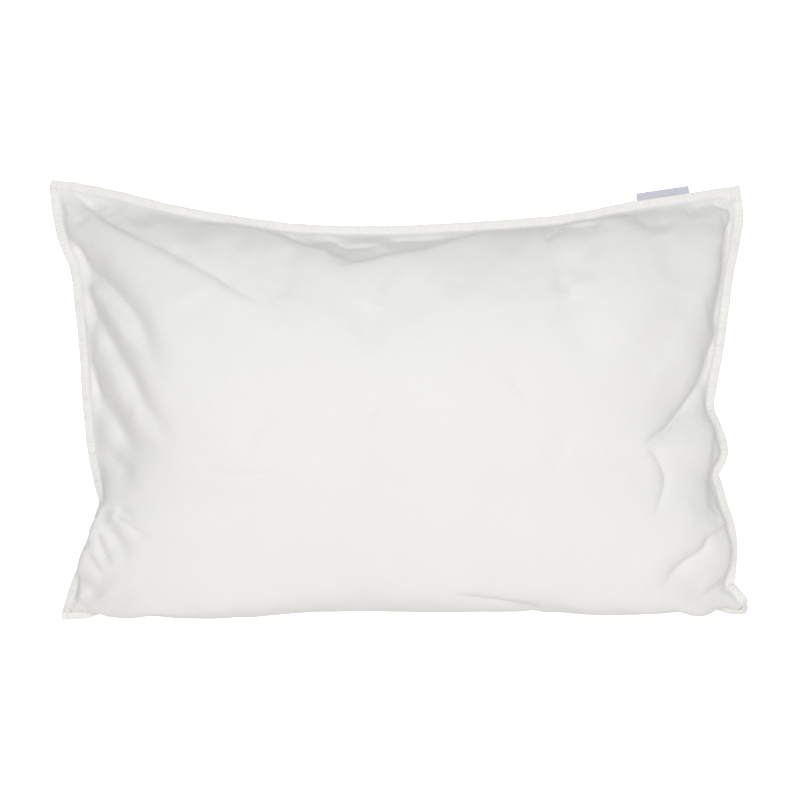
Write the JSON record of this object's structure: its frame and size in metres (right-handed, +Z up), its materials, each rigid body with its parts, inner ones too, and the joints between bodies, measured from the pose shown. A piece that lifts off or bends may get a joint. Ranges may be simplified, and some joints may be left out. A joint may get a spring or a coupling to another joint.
{
  "type": "filled pillowcase",
  "caption": "Filled white cotton pillowcase with narrow sewn edging and a blank woven side label, lying on its back with a soft crown and drawn-in sides.",
  "frame": {"origin": "on the surface that the case lies on, under the middle of its outline", "axes": "+X along the long edges towards the labelled corner, +Y from the bottom edge to the top edge, +Z up out of the front panel"},
  "size_m": [0.7, 0.444, 0.1647],
  "materials": {
    "washed_cotton": "white washed cotton percale, soft and slightly crumpled, matt",
    "cotton_strip": "folded strip of the same white cotton, topstitched and finely puckered, matt",
    "woven_tape": "pale lilac-grey woven satin tape, folded, with no lettering"
  },
  "bodies": {
    "root": {"filled_case": "washed_cotton", "top_binding": "cotton_strip", "left_binding": "cotton_strip", "right_binding": "cotton_strip", "bottom_binding": "cotton_strip", "label": "woven_tape"}
  },
  "joints": []
}
